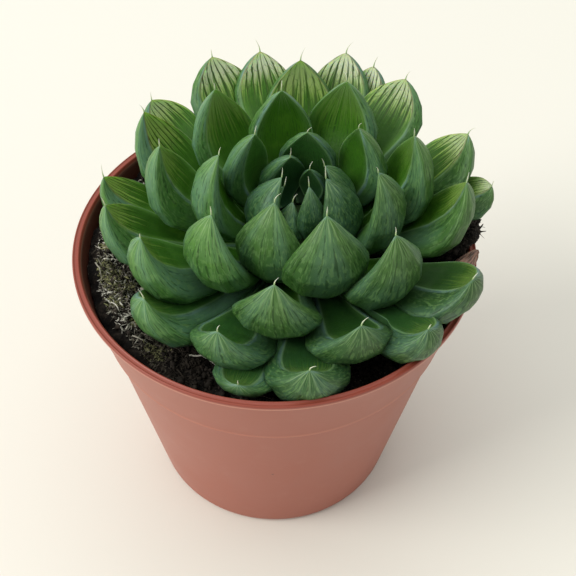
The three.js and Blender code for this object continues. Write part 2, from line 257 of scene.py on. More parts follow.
# Bristles: an upturn from the leaf's own way, their length, their radius at the root and how
# much of it is lost at the point
BRISTLE_UPTURN = 0.8
BRISTLE_LENGTH = [1.8, 3.2]
BRISTLE_RADIUS = 0.17
BRISTLE_TAPER = 0.88
BRISTLE_ROWS, BRISTLE_SIDES = 12, 6

# Azimuths on which a leaf's looks depend: behind, in front, where the tips are palest, partly
# as a painted glow of light through them, where the light comes from, toward which the leaves
# are paler as painted light, and where they are darkened most as painted shade, in all and
# lowest down
BACK = 90
FRONT = 270
PALE_TIPS = 65
LIGHT = 170
SHADE = 310
LOW_SHADE = 325

# Fine leaves: rows along, closer at the tip by this power, points round the belly and over the
# upper face, and how far a smooth leaf may stand out of its faceted solid
LEAF_ROWS = 60
TIP_CROWDING = 1.45
BELLY_POINTS = 34
FACE_POINTS = 20
LEAF_TRIM = 0.985
LEAF_PROUD = 0.2

# What the lights point at, in metres
LIGHT_TARGET = [0, 0, 0.07]


# Meshes


def noise(points, cell, seed):
    """Smooth noise from -1 to 1: a random value at each corner of a cubic lattice of that cell,
    joined along each axis by the curve 3f^2 - 2f^3."""
    places = np.asarray(points, float) / cell
    corner = np.floor(places).astype(np.int64)
    share = places - corner
    share = share * share * (3 - 2 * share)
    total = np.zeros(places.shape[:-1])
    for step in np.ndindex(2, 2, 2):
        lattice = corner + np.array(step)
        key = lattice[..., 0] * 73856093 ^ lattice[..., 1] * 19349663
        key = key ^ lattice[..., 2] * 83492791 ^ (seed * 2654435761)
        key = (key ^ (key >> 15)) * 2246822519 & 0xFFFFFFFF
        key = (key ^ (key >> 13)) * 3266489917 & 0xFFFFFFFF
        value = (key >> 8 & 0xFFFF) / 32767.5 - 1
        total += value * np.prod(np.where(np.array(step) == 1, share, 1 - share), axis=-1)
    return total


def smooth_keyed(keys, t):
    """The value at t of a list of [position, value] keys: a cubic through the keys, with each
    key's slope the mean of the slopes of the stretches beside it."""
    x, y = np.array(keys, float).T
    stretch = np.diff(y) / np.diff(x)
    slope = np.concatenate([stretch[:1], (stretch[1:] + stretch[:-1]) / 2, stretch[-1:]])
    i = np.clip(np.searchsorted(x, t, side="right") - 1, 0, len(x) - 2)
    width = x[i + 1] - x[i]
    s = (t - x[i]) / width
    rise = y[i] * (2 * s**3 - 3 * s**2 + 1) + y[i + 1] * (3 * s**2 - 2 * s**3)
    return rise + width * (slope[i] * (s**3 - 2 * s**2 + s) + slope[i + 1] * (s**3 - s**2))


def closed(rings, first, last):
    """The vertices and (quads, triangles) of closed surfaces: each has rings of points that run
    round it, between a pole before the first ring and a pole after the last."""
    items, rows, columns = rings.shape[:3]
    flat = rings.reshape(items, -1, 3)
    vertices = np.concatenate([first[:, None], flat, last[:, None]], 1).reshape(-1, 3)
    j = np.arange(columns)
    k = (j + 1) % columns
    i = np.arange(rows - 1)[:, None] * columns + 1
    quads = np.stack([i + j, i + k, i + columns + k, i + columns + j], -1).reshape(-1, 4)
    low = np.stack([np.zeros_like(j), 1 + k, 1 + j], -1)
    end = 1 + (rows - 1) * columns
    high = np.stack([np.full_like(j, end + columns), end + j, end + k], -1)
    triangles = np.concatenate([low, high])
    start = (np.arange(items) * (rows * columns + 2))[:, None, None]
    return vertices, ((quads + start).reshape(-1, 4), (triangles + start).reshape(-1, 3))


def unit(vectors):
    """The vectors at length 1."""
    return vectors / np.linalg.norm(vectors, axis=-1, keepdims=True)


def ball(rings, sides):
    """Rings of points on a sphere of radius 1, from the top down, without its poles."""
    v = np.linspace(0, np.pi, rings + 2)[1:-1, None]
    h = np.arange(sides) * 2 * np.pi / sides
    return np.stack([np.sin(v) * np.cos(h), np.sin(v) * np.sin(h), np.cos(v) + 0 * h], -1)


def tubes(path, radius, wide, deep, sides):
    """Closed tubes along paths: at each point of a path, and for each angle a,
    point + radius (cos a wide + sin a deep)."""
    angle = (np.arange(sides) * 2 * np.pi / sides)[:, None]
    circle = np.cos(angle) * wide[:, None, None] + np.sin(angle) * deep[:, None, None]
    return closed(path[:, :, None] + radius[..., None, None] * circle, path[:, 0], path[:, -1])


def joined(parts):
    """Several (vertices, (quads, triangles)) as one."""
    quads, triangles, start = [], [], 0
    for vertices, faces in parts:
        quads.append(faces[0] + start)
        triangles.append(faces[1] + start)
        start += len(vertices)
    vertices = np.concatenate([part[0] for part in parts])
    return vertices, (np.concatenate(quads), np.concatenate(triangles))


def grid_uv(u, t):
    """The places in UV of a closed grid: u from -1 to 1 across, and t along."""
    uv = np.stack(np.broadcast_arrays(u * 0.5 + 0.5, t[:, None]), -1).reshape(-1, 2)
    return np.concatenate([[[0.5, 0]], uv, [[0.5, 1]]])


def mark(mesh, key, values):
    """A value for each vertex that a material reads as an attribute."""
    attribute = mesh.attributes.new(key, "FLOAT", "POINT")
    attribute.data.foreach_set("value", np.asarray(values, np.float32).ravel())


def in_scene(name, data):
    """A new object of that data, in the scene."""
    made = bpy.data.objects.new(name, data)
    bpy.context.scene.collection.objects.link(made)
    return made


def new_piece(name, vertices, faces, material, uv=None, **marks):
    """A mesh object from vertices in millimetres and (quads, triangles). uv has a place for
    each vertex, and each of the marks is an attribute with a value for each vertex."""
    quads, triangles = faces
    mesh = bpy.data.meshes.new(name)
    mesh.vertices.add(len(vertices))
    mesh.vertices.foreach_set("co", (vertices * MM).astype(np.float32).ravel())
    corners = np.concatenate([quads.ravel(), triangles.ravel()]).astype(np.int32)
    mesh.loops.add(len(corners))
    mesh.loops.foreach_set("vertex_index", corners)
    starts = np.arange(len(quads)) * 4
    starts = np.concatenate([starts, len(quads) * 4 + np.arange(len(triangles)) * 3])
    mesh.polygons.add(len(starts))
    mesh.polygons.foreach_set("loop_start", starts.astype(np.int32))
    mesh.polygons.foreach_set("use_smooth", np.ones(len(starts), bool))
    mesh.update(calc_edges=True)
    if uv is not None:
        layer = mesh.uv_layers.new(name="UVMap")
        layer.data.foreach_set("uv", uv[corners].astype(np.float32).ravel())
    for key, values in marks.items():
        mark(mesh, key, values)
    outward = bmesh.new()
    outward.from_mesh(mesh)
    bmesh.ops.recalc_face_normals(outward, faces=outward.faces)
    outward.to_mesh(mesh)
    outward.free()
    mesh.materials.append(material)
    return in_scene(name, mesh)


def mesh_places(mesh):
    """The vertices of a mesh in millimetres."""
    places = np.zeros(len(mesh.vertices) * 3, np.float32)
    mesh.vertices.foreach_get("co", places)
    return places.reshape(-1, 3).astype(float) / MM


def settle(piece):
    """Applies the piece's modifiers."""
    graph = bpy.context.evaluated_depsgraph_get()
    mesh = bpy.data.meshes.new_from_object(piece.evaluated_get(graph))
    piece.modifiers.clear()
    piece.data = mesh


def keep_in_solid(piece, node):
    """Draws in what stands more than LEAF_PROUD out of the node's solid."""
    hold = piece.modifiers.new("keep_in_solid", "SHRINKWRAP")
    hold.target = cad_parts[node]
    hold.wrap_method = "NEAREST_SURFACEPOINT"
    hold.wrap_mode = "INSIDE"
    hold.offset = -LEAF_PROUD * MM
    settle(piece)


def on_root(piece, node):
    """Rides the piece on the one body. It stands for that node, if any."""
    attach(piece, "root")
    if node:
        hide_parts(node)


# Materials

# A pattern that is too fine to show in a picture of the whole plant is drawn as coarse as it
# needs to show. Sizes of patterns are in millimetres.

# A leaf of the middle size, on which the leaves' patterns are measured
LEAF_HALF_WIDTH = 9
LEAF_LENGTH = 38


def linear(colour):
    """An sRGB hex colour as linear RGBA."""
    channels = np.array([int(colour[i : i + 2], 16) for i in (1, 3, 5)]) / 255
    low = channels / 12.92
    high = ((channels + 0.055) / 1.055) ** 2.4
    return (*np.where(channels <= 0.04045, low, high).tolist(), 1)


# What a kind of node is set to where a line doesn't say otherwise
SETTINGS = {
    "Attribute": {"out": 2},
    "MapRange": {"interpolation_type": "SMOOTHSTEP"},
    "Math": {"operation": "MULTIPLY"},
    "Mix": {"data_type": "RGBA", "out": 2},
    "TexCoord": {"out": 3},
    "TexNoise": {"Scale": 1.0},
    "TexVoronoi": {"Scale": 1.0},
}


def add_node(material, kind, *values, **named):
    """Adds a node and gives its output of the number out, or its first. The values go into its
    sockets in order. A name with a capital is a socket's, with _ for a space, in6 is socket 6,
    and any other name is a property's, apart from ramp, the stops of a colour ramp. A socket
    given as a value is linked."""
    named = SETTINGS.get(kind, {}) | named
    out, ramp = named.pop("out", 0), named.pop("ramp", ())
    node = material.node_tree.nodes.new("ShaderNode" + kind)
    inputs = dict(enumerate(values))
    for name, value in named.items():
        if name[0].isupper():
            inputs[name.replace("_", " ")] = value
        elif name[2:].isdigit():
            inputs[int(name[2:])] = value
        else:
            setattr(node, name, value)
    for key, value in inputs.items():
        socket = node.inputs[key]
        if isinstance(value, bpy.types.NodeSocket):
            material.node_tree.links.new(value, socket)
        else:
            socket.default_value = linear(value) if isinstance(value, str) else value
    for i, (place, colour) in enumerate(ramp):
        stops = node.color_ramp.elements
        stop = stops[i] if i < 2 else stops.new(place)
        stop.position, stop.color = place, linear(colour)
    return node.outputs[out] if len(node.outputs) else None


def new_material(name):
    """An empty material, and add_node for it."""
    material = bpy.data.materials.new(name)
    material.use_nodes = True
    material.node_tree.nodes.clear()
    return material, partial(add_node, material)


def grain(size):
    """The scale of a pattern on Object coordinates whose grain is this size in millimetres."""
    return 1 / (size * MM)


def leaf_grain(across, along, apart):
    """The scale of a pattern on a leaf's grid: its grain across and along the leaf in
    millimetres, and how far apart the patterns of different leaves are taken."""
    return LEAF_HALF_WIDTH / across, LEAF_LENGTH / along, apart


def lines(spacing):
    """The factor that makes a sine of lane one line for each spacing in millimetres."""
    return 2 * np.pi * LEAF_HALF_WIDTH / spacing


def coats(add, colour, layers):
    """Lays coats over a colour. Each is its own colour, then how much of it covers what is
    below, as one share or several that are multiplied."""
    for coat, share, *others in layers:
        for other in others:
            share = add("Math", share, other)
        colour = add("Mix", share, in6=colour, in7=coat)
    return colour


def leaf_skin():
    """Leaf skin: a thin waxy cuticle over watery flesh, so it is satin and a little
    translucent. Veins run along the leaf to its tip; the upper face is a deep green in its
    hollow and clear between the veins near its tip. across and along are the piece's own UV,
    rim is the distance from the margin in millimetres, wide is the leaf's width there as a
    share of its greatest, and leaf_looks gives the rest."""
    m, add = new_material("haworthia_leaf_skin")
    uv = add("UVMap", uv_map="UVMap")
    across = add("Math", add("SeparateXYZ", uv), 2.0, -1.0, operation="MULTIPLY_ADD")
    along = add("SeparateXYZ", uv, out=1)
    edge = add("Math", across, operation="ABSOLUTE")
    upper, windows, behind, tone, painted_deep_shade, rim, wide = (
        add("Attribute", attribute_name=key)
        for key in ("upper_face", "windows", "behind", "tone", "painted_deep_shade", "rim", "wide")
    )
    belly = add("Math", 1.0, upper, operation="SUBTRACT")
    here = add("TexCoord")

    # Lanes follow the leaf's width, so lines of equal lane run together at the tip. Every
    # pattern is stretched along the leaf, and is different on each leaf.
    grid = add("CombineXYZ", across, along, tone)
    sway = add("TexNoise", add("Mapping", grid, Scale=leaf_grain(1.4, 13, 15)))
    lane = add("Math", sway, 0.16, across, operation="MULTIPLY_ADD")
    lanes = add("CombineXYZ", lane, along, tone)
    tatters, dashes, ridge = (
        add("TexNoise", add("Mapping", lanes, Scale=leaf_grain(*size)))
        for size in ((0.65, 25, 7.5), (0.45, 1.9, 8), (0.26, 1.7, 8))
    )
    line, ray = (
        add("Math", add("Math", lane, lines(apart)), operation="SINE") for apart in (0.8, 1.9)
    )
    ragged = add("Math", tatters, 0.7, along, operation="MULTIPLY_ADD")

    # Green: slow changes over centimetres, flecks of 3 mm, paler at the tip. The upper face is
    # deep green below its tip and within its margins, ragged along the veins.
    cloud = add("TexNoise", here, Scale=grain(11))
    tip = add("MapRange", along, 0.6, 1.0, 0.0, 0.4)
    open_face = add("Math", windows, 0.35, 0.22, operation="MULTIPLY_ADD")
    hollow = add("MapRange", along, 0.2, 0.8)
    hollow = add("Mix", hollow, in6="#214c09", in7="#3a6c13")
    deep = add("Math", windows, 0.3, ragged, operation="MULTIPLY_ADD")
    deep = add("MapRange", deep, 1.21, 1.43, 1.0, 0.0)
    inner = add("MapRange", edge, 0.6, 1.0, 1.0, 0.0)
    fleck = add("MapRange", add("TexNoise", here, Scale=grain(3)), 0.5, 0.72, 0.0, 0.16)
    flesh = coats(
        add,
        add("Mix", cloud, in6="#305a27", in7="#436f31"),
        [
            ("#6a9450", tip),
            ("#5d9030", upper, open_face),
            (hollow, deep, upper, inner),
            ("#5f9128", fleck),
            # painted shade: dark bluish green on the heart's leaves and the lowest ones in front
            ("#2b5340", painted_deep_shade, 0.55),
        ],
    )
    # tone paints light and shade: paler toward the light, darker on the front right, with a
    # random part
    value = add("Math", tone, 0.14, 1.0, operation="MULTIPLY_ADD")
    flesh = add("HueSaturation", Value=value, Color=flesh)

    # Wax bloom: a bluish cast in soft bands 3 mm wide along the belly, made stronger as a painted
    # sheen on leaves with more painted light. Beside the margins, along the crest, a bluish band
    # is a painted reflection of the sky.
    bands = add("TexNoise", add("Mapping", grid, Scale=leaf_grain(3.3, 22, 8.5)), Detail=1.0)
    bands = add("MapRange", bands, 0.42, 0.66)
    most = add("MapRange", tone, 0.0, 2.0, 0.25, 0.5, interpolation_type="LINEAR")
    crest = add("MapRange", rim, 0.3, 1.3, 1.0, 0.0)
    patchy = add("MapRange", sway, 0.44, 0.6, 0.04, 0.6)

    # Veins 0.8 mm apart, broken into dark dashes about 2 mm long, with short pale ridges
    # between them. Real ones are half as wide, and are drawn this coarse to show.
    dashes = add("MapRange", dashes, 0.44, 0.51)
    outward = add("MapRange", along, 0.35, 0.75, 0.1, 1.0)
    furrow = add("Math", add("MapRange", line, 0.6, 0.9), dashes)
    furrow = add("Math", furrow, outward)
    ridge = add("MapRange", ridge, 0.5, 0.62, 0.0, 0.28)

    # Pale lines that fan out from the tip.
    ray = add("MapRange", ray, 0.35, 1.0, 0.0, 0.4)
    at_tip = add("MapRange", along, 0.86, 0.99)

    # Windows: clear flesh between bold veins that run nearly side by side and a net of thin ones.
    # Their pale tint, palest at the tips of the leaves behind, is partly their own colour and
    # partly a painted glow of light shining through the tips.
    clear = add("Math", add("MapRange", ragged, 0.98, 1.16), upper)
    clear = add("Math", clear, windows)
    pale = add("Math", add("MapRange", along, 0.63, 0.9), behind)
    pale = add("Mix", pale, in6="#93b353", in7="#dfe6ca")
    spread = add("Math", wide, 0.65, 0.35, operation="MULTIPLY_ADD")
    vein = add("Math", add("Math", lane, spread), lines(2.2))
    vein = add("MapRange", add("Math", vein, operation="SINE"), 0.5, 0.84)
    net = add("Mapping", lanes, Scale=leaf_grain(1.5, 4.2, 7.5))
    net = add("TexVoronoi", net, feature="DISTANCE_TO_EDGE")
    net = add("MapRange", net, 0.015, 0.06, 0.4, 0.0)
    vein = add("Math", vein, net, operation="MAXIMUM")
    outer = add("MapRange", along, 0.5, 0.7)
    faded = add("MapRange", ragged, 1.2, 1.38, 0.95, 0.0)

    # Margin: a hard thin edge, pale, and brown near the tips of the outer leaves.
    brown = add("Math", windows, add("MapRange", along, 0.6, 0.8))
    horn = add("Mix", brown, in6="#7fa877", in7="#76614a")
    margin = add("MapRange", rim, 0.1, 0.38, 0.42, 0.0)
    flesh = coats(
        add,
        flesh,
        [
            # bloom with a painted sheen, then the painted reflection along the crest
            ("#64897c", bands, most, belly),
            ("#7699a0", crest, patchy, belly),
            ("#17370f", furrow, 0.6),
            ("#7fa765", ridge, outward, belly),
            ("#9dbb86", ray, at_tip),
            # pale windows, partly a painted glow of light through the tips
            (pale, clear, 0.92),
            ("#30520e", vein, outer, faded, windows, upper),
            (horn, margin),
        ],
    )

    fine = add("TexNoise", here, Scale=grain(0.7))
    relief = add("Math", furrow, -0.6, fine, operation="MULTIPLY_ADD")
    skin = add(
        "BsdfPrincipled",
        Base_Color=flesh,
        Roughness=add("MapRange", fine, 0.0, 1.0, 0.4, 0.56),
        IOR=1.42,
        Specular_IOR_Level=0.4,
        Subsurface_Weight=add("Math", clear, 0.4, 0.16, operation="MULTIPLY_ADD"),
        Subsurface_Radius=(0.6, 1.0, 0.2),
        Subsurface_Scale=3 * MM,
        Normal=add("Bump", Height=relief, Strength=0.35, Distance=0.16 * MM),
    )
    add("OutputMaterial", skin)
    return m


def bristle_horn():
    """Leaf bristle: dry horny tissue, green at its root and pale and translucent above."""
    m, add = new_material("haworthia_bristle")
    dried = add("MapRange", add("Attribute", attribute_name="dryness"), 0.0, 0.6)
    horn = add(
        "BsdfPrincipled",
        Base_Color=add("Mix", dried, in6="#a2c088", in7="#dde2ca"),
        Roughness=0.5,
        Subsurface_Weight=0.3,
        Subsurface_Radius=(1.0, 1.0, 0.6),
        Subsurface_Scale=0.5 * MM,
    )
    add("OutputMaterial", horn)
    return m


def pot_plastic():
    """Injection-moulded polypropylene: satin, with faint flow mottling, pale chalky patches and a
    few dark specks of peat. Pale lines on the collar's step and the lip's lower edge are painted
    highlights, and the inside below the rim is darkened nearly to black as painted shade."""
    m, add = new_material("moulded_polypropylene")
    here = add("TexCoord")
    height = add("SeparateXYZ", here, out=2)
    mottle = add("TexNoise", here, Scale=grain(45), Detail=3.0)
    chalk = add("TexNoise", here, Scale=grain(6), Detail=4.0, Roughness=0.6)
    chalk = add("MapRange", chalk, 0.5, 0.8, 0.0, 0.06)
    from_step, from_lip = (
        add("Math", add("Math", height, edge * MM, operation="SUBTRACT"), operation="ABSOLUTE")
        for edge in (COLLAR_FOOT_HEIGHT + 0.3, POT_HEIGHT - LIP_HEIGHT + 0.2)
    )
    # painted highlight: a pale line along the collar's step
    painted_step_highlight = add("MapRange", from_step, 0.2 * MM, 0.8 * MM, 0.7, 0.0)
    lip_low, lip_high = (POT_HEIGHT - 1.2) * MM, (POT_HEIGHT - 0.4) * MM
    lip = add("MapRange", height, lip_low, lip_high, 0.0, 0.85)
    # painted highlight: a pale line along the lip's lower outer edge
    painted_lip_highlight = add("MapRange", from_lip, 0.1 * MM, 0.6 * MM, 0.6, 0.0)
    specks = add("TexVoronoi", here, Scale=grain(14))
    specks = add("MapRange", specks, 0.012, 0.03, 0.7, 0.0)
    # painted shade: the inside of the pot below its rim, darkened nearly to black
    inner_shade_share = add("MapRange", add("TexNoise", here, Scale=grain(8)), 0.2, 0.5, 0.92, 1.0)
    painted_inner_shade = add("Attribute", attribute_name="painted_inner_shade")
    colour = coats(
        add,
        add("Mix", mottle, in6="#9d5544", in7="#a65d49"),
        [
            ("#c9a090", chalk),
            ("#d09682", painted_step_highlight, mottle),
            ("#8c3f31", lip),
            ("#d49a88", painted_lip_highlight),
            ("#3d211a", specks),
            ("#0b0706", inner_shade_share, painted_inner_shade),
        ],
    )
    fine = add("TexNoise", here, Scale=grain(0.4))
    plastic = add(
        "BsdfPrincipled",
        Base_Color=colour,
        Roughness=add("MapRange", mottle, 0.3, 0.7, 0.4, 0.5),
        IOR=1.49,
        Subsurface_Weight=0.06,
        Subsurface_Radius=(1.0, 0.35, 0.2),
        Subsurface_Scale=MM,
        Normal=add("Bump", Height=fine, Strength=0.08, Distance=0.05 * MM),
    )
    add("OutputMaterial", plastic)
    return m


def peat():
    """Moist sphagnum peat: nearly black crumbs and brown strands, quite without gloss."""
    m, add = new_material("moist_peat")
    here = add("TexCoord")
    coarse = add("TexNoise", here, Scale=grain(2.4), Detail=4.0, Roughness=0.65)
    stops = [(0.38, "#060505"), (0.54, "#15110e"), (0.72, "#3b332c")]
    fine = add("TexNoise", here, Scale=grain(0.65))
    flecks = add("MapRange", fine, 0.66, 0.74, 0.0, 0.55)
    ground = add(
        "BsdfPrincipled",
        Base_Color=coats(add, add("ValToRGB", coarse, ramp=stops), [("#8d8573", flecks)]),
        Roughness=0.9,
        Specular_IOR_Level=0.25,
        Normal=add("Bump", Height=fine, Strength=0.7, Distance=0.4 * MM),
    )
    add("OutputMaterial", ground)
    return m


def strands():
    """Peat fibres, crumbs and dry roots: dry plant matter, each in its own colour from the
    attribute tint, from black through brown to straw."""
    m, add = new_material("dry_plant_fibre")
    tint = add("Attribute", attribute_name="tint")
    browns = [(0.0, "#0f0c0a"), (0.35, "#2f2923"), (0.6, "#6d685c")]
    straws = [(0.82, "#b3b0a2"), (1.0, "#e8e6db")]
    colour = add("ValToRGB", tint, ramp=browns + straws)
    patchy = add("TexNoise", add("TexCoord"), Scale=grain(1.1))
    fibre = add(
        "BsdfPrincipled",
        Base_Color=coats(add, colour, [("#4a4136", patchy, 0.25)]),
        Roughness=0.85,
        Specular_IOR_Level=0.3,
    )
    add("OutputMaterial", fibre)
    return m


def moss():
    """Young moss: tiny soft leaves, yellow-green at the ends."""
    m, add = new_material("moss_tuft")
    tint = add("Attribute", attribute_name="tint")
    leaf = add(
        "BsdfPrincipled",
        Base_Color=add("Mix", tint, in6="#171a0c", in7="#a0a072"),
        Roughness=0.8,
        Specular_IOR_Level=0.3,
    )
    add("OutputMaterial", leaf)
    return m


def crown_tissue():
    """The stem and crown: green to brown tissue with leaf scars, dark as painted shade deep among
    the leaves.
    """
    m, add = new_material("haworthia_crown")
    scars = add("TexNoise", add("TexCoord"), Scale=grain(3.3), Detail=3.0)
    tissue = add(
        "BsdfPrincipled",
        # dark green as painted shade deep among the leaves
        Base_Color=add("Mix", scars, in6="#1c3512", in7="#385724"),
        Roughness=0.7,
        Normal=add("Bump", Height=scars, Strength=0.5, Distance=0.3 * MM),
    )
    add("OutputMaterial", tissue)
    return m


def withered_tissue():
    """A dried leaf: papery skin, pinkish brown, with dark streaks along it."""
    m, add = new_material("withered_leaf_skin")
    across = 2 * DRY_HALF / DRY_STREAK_WIDTH
    along = np.linalg.norm(DRY_TIP - DRY_BASE) / DRY_STREAK_LENGTH
    streak = add("Mapping", add("UVMap", uv_map="UVMap"), Scale=(across, along, 1))
    streak = add("TexNoise", streak, Detail=3.0)
    streaks = add("MapRange", streak, 0.35, 0.65)
    paper = add(
        "BsdfPrincipled",
        Base_Color=add("Mix", streaks, in6="#45332b", in7="#a07e6f"),
        Roughness=0.65,
        Subsurface_Weight=0.1,
        Subsurface_Scale=0.8 * MM,
        Normal=add("Bump", Height=streak, Strength=0.6, Distance=0.3 * MM),
    )
    add("OutputMaterial", paper)
    return m


# Camera


def camera_axes():
    """The camera's right, up and back axes: level and looking along +Y, tilted down, turned
    to the right and rolled."""
    down, turn = CAMERA_DOWN, CAMERA_TURN
    forward = np.array([np.sin(turn) * np.cos(down), np.cos(turn) * np.cos(down), -np.sin(down)])
    right = np.array([np.cos(turn), -np.sin(turn), 0])
    up = np.cross(right, forward)
    cosine, sine = np.cos(CAMERA_ROLL), np.sin(CAMERA_ROLL)
    return right * cosine + up * sine, up * cosine - right * sine, -forward


def placed(*columns):
    """The matrix of a camera or light, from its right, up and back axes and its place."""
    return Matrix([*np.column_stack(columns).tolist(), (0, 0, 0, 1)])


def make_camera():
    data = bpy.data.cameras.new("camera")
    data.sensor_width = SENSOR_MM
    data.lens = FOCAL_PX / IMAGE_PX * SENSOR_MM
    data.clip_start = 0.01
    data.clip_end = 20
    camera = in_scene("camera", data)
    camera.matrix_world = placed(*camera_axes(), CAMERA_PLACE * MM)
    bpy.context.scene.camera = camera


make_camera()


# Pot


def inner_radius(z):
    """Radius of the pot's inner wall at height z: one cone under the collar, one within it."""
    z = np.asarray(z, float)
    body_top = COLLAR_FOOT_RADIUS - COLLAR_STEP
    body = POT_BASE_RADIUS + (body_top - POT_BASE_RADIUS) * z / COLLAR_FOOT_HEIGHT
    rise = (z - COLLAR_FOOT_HEIGHT) / (POT_HEIGHT - COLLAR_FOOT_HEIGHT)
    collar = COLLAR_FOOT_RADIUS + (COLLAR_TOP_RADIUS - COLLAR_FOOT_RADIUS) * rise
    return np.where(z < COLLAR_FOOT_HEIGHT, body, collar) - POT_WALL


def rounded(profile, steps=5):
    """A profile of [radius, height, rounding] with each corner replaced by a curve that starts
    and ends at the rounding's distance from it: (1-s)^2 a + 2s(1-s) corner + s^2 b."""
    points = np.array([p[:2] for p in profile], float)
    made = [points[:1]]
    s = np.linspace(0, 1, steps)[:, None]
    for before, corner, after, row in zip(points, points[1:], points[2:], profile[1:]):
        back, on = before - corner, after - corner
        back = back / np.linalg.norm(back) * min(row[2], np.linalg.norm(back) * 0.45)
        on = on / np.linalg.norm(on) * min(row[2], np.linalg.norm(on) * 0.45)
        start, end = corner + back, corner + on
        made.append((1 - s) ** 2 * start + 2 * s * (1 - s) * corner + s**2 * end)
    return np.concatenate([*made, points[-1:]])


def turned(profile, sides):
    """A profile turned about +Z. Its first and last points lie on the axis and are the poles."""
    angle = np.arange(sides) * 2 * np.pi / sides
    r, z = profile[1:-1].T
    x = r[:, None] * np.cos(angle)
    y = r[:, None] * np.sin(angle)
    rings = np.stack([x, y, np.broadcast_to(z[:, None], x.shape)], -1)[None]
    poles = [np.array([[0, 0, profile[i][1]]]) for i in (0, -1)]
    return closed(rings, *poles)


def make_pot(material):
    """The pot turned about +Z, just within its solid: every edge rounded, a shallow groove round
    the top of the lip, and the drain holes drilled through its floor. The inside, below the
    rim, is marked for painted shade."""
    top, step = POT_HEIGHT, COLLAR_FOOT_HEIGHT
    under_lip = top - LIP_HEIGHT
    profile = rounded(
        [
            [0, 0, 0],
            [POT_BASE_RADIUS - POT_FOOT_CHAMFER * 0.8, 0, 0.5],
            [POT_BASE_RADIUS - SETBACK, POT_FOOT_CHAMFER, 0.8],
            [COLLAR_FOOT_RADIUS - COLLAR_STEP, step - 0.15, 0.3],
            [COLLAR_FOOT_RADIUS + 0.08, step + 0.15, 0.18],
            [COLLAR_FOOT_RADIUS + 0.02, step + 0.7, 0.3],
            [COLLAR_TOP_RADIUS - 0.1, under_lip, 0.12],
            [LIP_RADIUS - SETBACK, under_lip + 0.08, 0.16],
            [LIP_RADIUS - SETBACK, top - 0.25, 0.2],
            [LIP_RADIUS - 0.26, top, 0.12],
            [LIP_RADIUS - 0.55, top - 0.22, 0.15],
            [LIP_RADIUS - 1.05, top - 0.22, 0.15],
            [LIP_RADIUS - 1.3, top, 0.12],
            [float(inner_radius(top)) + 0.15, top - 0.15, 0.15],
            [float(inner_radius(top - 0.8)), top - 0.8, 0.3],
            [float(inner_radius(step + 0.8)), step + 0.8, 0.6],
            [float(inner_radius(step - 0.8)), step - 0.8, 0.6],
            [float(inner_radius(POT_FLOOR)), POT_FLOOR, 0.8],
            [0, POT_FLOOR, 0],
        ]
    )
    pot = new_piece("nursery_pot", *turned(profile, POT_SIDES), material)

    hole = (np.arange(DRAIN_HOLES) + 0.5) * 2 * np.pi / DRAIN_HOLES
    centre = DRAIN_CIRCLE_RADIUS * np.stack([np.cos(hole), np.sin(hole)], -1)
    ends = [np.column_stack([centre, np.full(DRAIN_HOLES, z)]) for z in (-2, POT_FLOOR + 2)]
    wide, deep = np.eye(3)[:2, None]
    radius = np.full((1, 1), DRAIN_RADIUS)
    drills = tubes(np.stack(ends, 1), radius, wide, deep, HOLE_SIDES)
    drills = new_piece("drills", *drills, material)
    cut = pot.modifiers.new("drain_holes", "BOOLEAN")
    cut.object = drills
    cut.solver = "EXACT"
    settle(pot)
    bpy.data.objects.remove(drills)

    x, y, z = mesh_places(pot.data).T
    # where the painted shade goes: the inside below the rim, fading in
    inside = (np.hypot(x, y) < inner_radius(z) + 0.1) & (z > POT_FLOOR - 0.1)
    mark(pot.data, "painted_inner_shade", inside * np.clip((POT_HEIGHT - UNSHADED_RIM - z) / INNER_SHADE_FADE, 0, 1))
    on_root(pot, "pot")


make_pot(pot_plastic())


# Plant


def crown_radius(z):
    """Radius of the crown at height z: a dome over its widest part."""
    rise = np.clip((z - CROWN_FOOT) / (CROWN_TOP - CROWN_FOOT), 0, 1)
    return CROWN_TIP_RADIUS + (CROWN_RADIUS - CROWN_TIP_RADIUS) * np.sqrt(1 - rise**2)


def leaf_curve(leaf, rank):
    """The middle line of a leaf's upper face: a curve of three points, base, middle and tip,
    whose slopes at both ends depend on how far the leaf reaches."""
    azimuth, reach, height = leaf[:3]
    turn = np.radians(azimuth)
    out = np.array([np.cos(turn), np.sin(turn), 0])
    side = np.array([-np.sin(turn), np.cos(turn), 0])
    rise = 1 - (rank / (len(LEAVES) - 1)) ** LEAF_BASE_CROWDING
    base_z = LEAF_BASE_LOW + rise * (LEAF_BASE_HIGH - LEAF_BASE_LOW)
    axis = np.array([*PLANT, 0.0])
    base = axis + out * (crown_radius(base_z) + LEAF_SEAT) + [0, 0, base_z]
    tip = axis + out * reach + [0, 0, height]
    chord = tip - base
    chord_slope = np.arctan2(chord[2], chord @ out)
    to_axis = PLANT @ out[:2]
    aside = PLANT[0] * out[1] - PLANT[1] * out[0]
    room = np.sqrt(inner_radius(POT_HEIGHT) ** 2 - aside**2) - to_axis
    lift = min(LIFT_PER_MM * max(reach - room + LIFT_ROOM, 0), LIFT_MOST)
    tip_slope = np.radians(TIP_SLOPE_HEART - TIP_SLOPE_FALL * reach - LIFT_TIP_SHARE * lift)
    base_slope = max(BASE_SLOPE_HEART - BASE_SLOPE_FALL * reach, BASE_SLOPE_LEAST) + lift
    base_slope = np.radians(base_slope)
    run = np.linalg.norm(chord) * np.sin(tip_slope - chord_slope)
    run = run / np.sin(tip_slope - base_slope)
    middle = base + out * run * np.cos(base_slope) + [0, 0, run * np.sin(base_slope)]
    return base, middle, tip, out, side


def facing(leaf, azimuth):
    """How far a leaf points that way: 1 for straight there and -1 for straight away."""
    return np.cos(np.radians(leaf[0] - azimuth))


